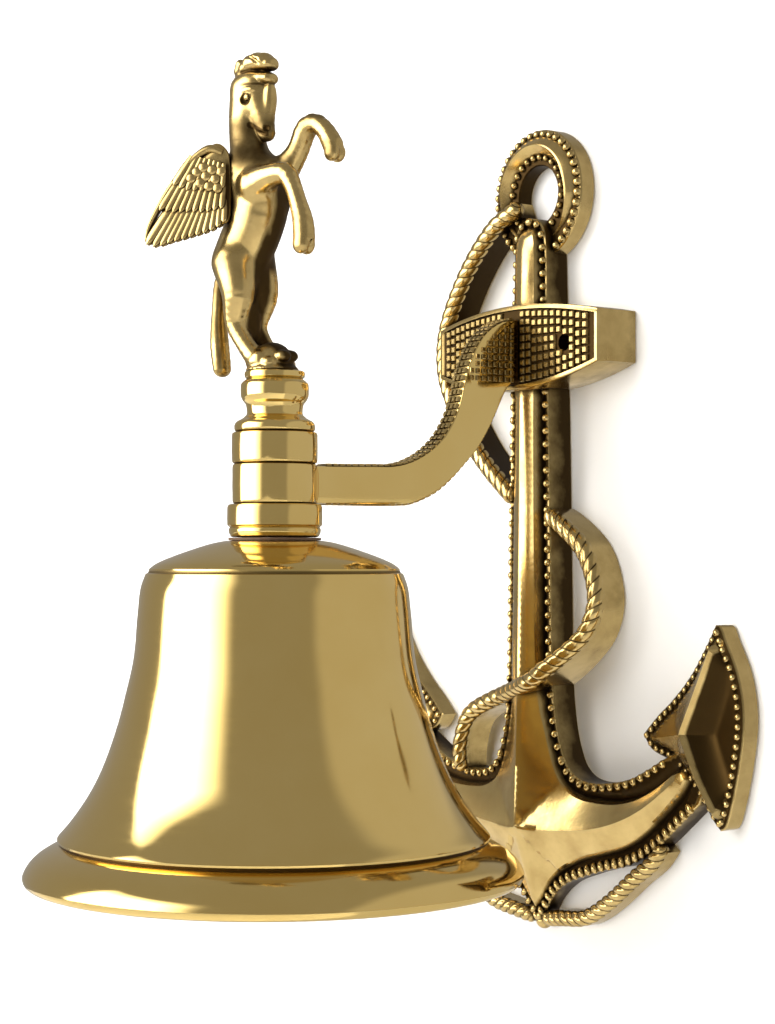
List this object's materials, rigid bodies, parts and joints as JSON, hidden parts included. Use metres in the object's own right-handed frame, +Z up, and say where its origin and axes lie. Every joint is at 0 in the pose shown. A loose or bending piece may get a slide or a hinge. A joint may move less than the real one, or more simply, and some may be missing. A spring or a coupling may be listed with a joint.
{
  "type": "ship bell",
  "caption": "Wall-mounted brass ship bell hung from an S-shaped arm on an anchor back with cast rope, with a winged horse finial above and a clapper swinging on a link inside.",
  "frame": {"origin": "on the wall plane, behind the middle of the anchor's stock", "axes": "+Y into the wall, +Z up, +X to the right for a viewer who faces the wall"},
  "size_m": [0.1882, 0.184, 0.2755],
  "materials": {
    "polished_brass": "mirror polished and lacquered",
    "antique_brass": "polished high spots over dark patina",
    "figure_brass": "cast and burnished over dark patina",
    "clapper_brass": "satin",
    "zinc_steel": "zinc plated",
    "leather": "waxed"
  },
  "bodies": {
    "bracket": {"bell": "polished_brass", "lower_ferrule": "polished_brass", "upper_collar": "polished_brass", "finial_pedestal": "polished_brass", "bracket_arm": "polished_brass", "anchor_casting": "antique_brass", "anchor_rope_upper": "antique_brass", "anchor_rope_lower": "antique_brass", "swag_rope_left": "antique_brass", "swag_rope_right": "antique_brass", "anchor_stock": "antique_brass", "finial_horse": "figure_brass", "finial_wing_left": "figure_brass", "finial_wing_right": "figure_brass", "arm_screw_upper": "zinc_steel", "arm_screw_lower": "zinc_steel", "centre_stud": "zinc_steel", "nut_washer": "zinc_steel", "crown_nut": "zinc_steel", "clapper_hanger": "zinc_steel", "crown_washer": "leather"},
    "link": {"clapper_link": "zinc_steel"},
    "clapper": {"clapper_rod": "clapper_brass", "clapper_ball": "clapper_brass", "lanyard_eye": "clapper_brass"}
  },
  "joints": [
    {"name": "clapper_swing", "type": "hinge", "parent": "bracket", "child": "link", "pos_m": [0, -0.109, -0.0896], "axis": [1, 0, 0], "range_deg": [-36, 36]},
    {"name": "clapper_side_swing", "type": "hinge", "parent": "link", "child": "clapper", "pos_m": [0, -0.109, -0.0979], "axis": [0, 1, 0], "range_deg": [-10, 10]}
  ]
}
